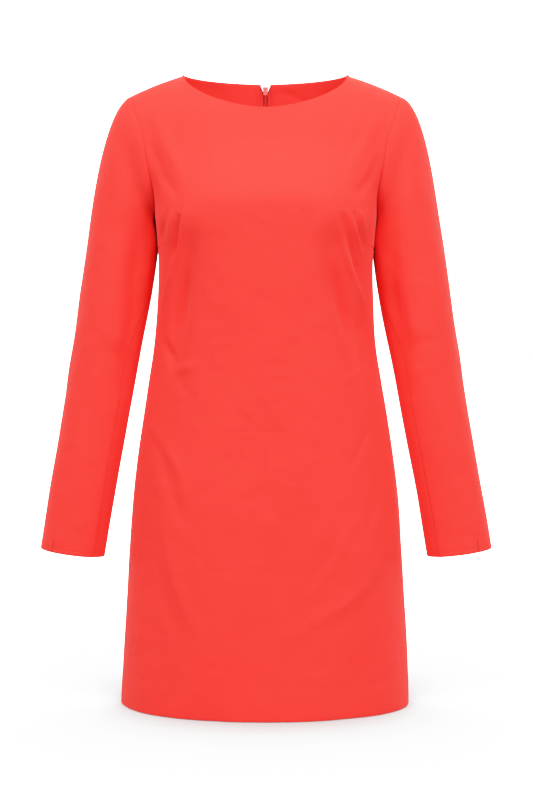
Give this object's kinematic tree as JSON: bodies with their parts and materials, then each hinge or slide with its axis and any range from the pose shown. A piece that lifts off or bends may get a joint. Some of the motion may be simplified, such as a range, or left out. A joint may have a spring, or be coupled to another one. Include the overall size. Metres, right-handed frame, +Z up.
{
  "type": "shift dress",
  "caption": "Long-sleeved shift dress with a wide round neck, side bust darts, slit cuffs and a centre-back zip, filled out as worn.",
  "frame": {"origin": "middle of the neck opening, level with the tops of the shoulder seams and in their plane", "axes": "+Z up, -Y to the front of the dress, +X to the wearer's left"},
  "size_m": [0.6368, 0.249, 0.8791],
  "materials": {
    "cloth": "smooth matte woven cloth in one colour, with a slight sheen",
    "zip_tape": "close woven tape in the cloth's colour",
    "zip_metal": "lacquered metal in a paler tone of the cloth"
  },
  "bodies": {
    "dress": {"front": "cloth", "back_left": "cloth", "back_right": "cloth", "sleeve_left": "cloth", "sleeve_right": "cloth", "zip_tape_left": "zip_tape", "zip_tape_right": "zip_tape", "zip_slider": "zip_metal"},
    "pull": {"zip_pull": "zip_metal"}
  },
  "joints": [
    {"name": "pull_swing", "type": "hinge", "parent": "dress", "child": "pull", "pos_m": [0, 0.0627, -0.01589], "axis": [1, 0, 0], "range_deg": [0, 150]}
  ]
}
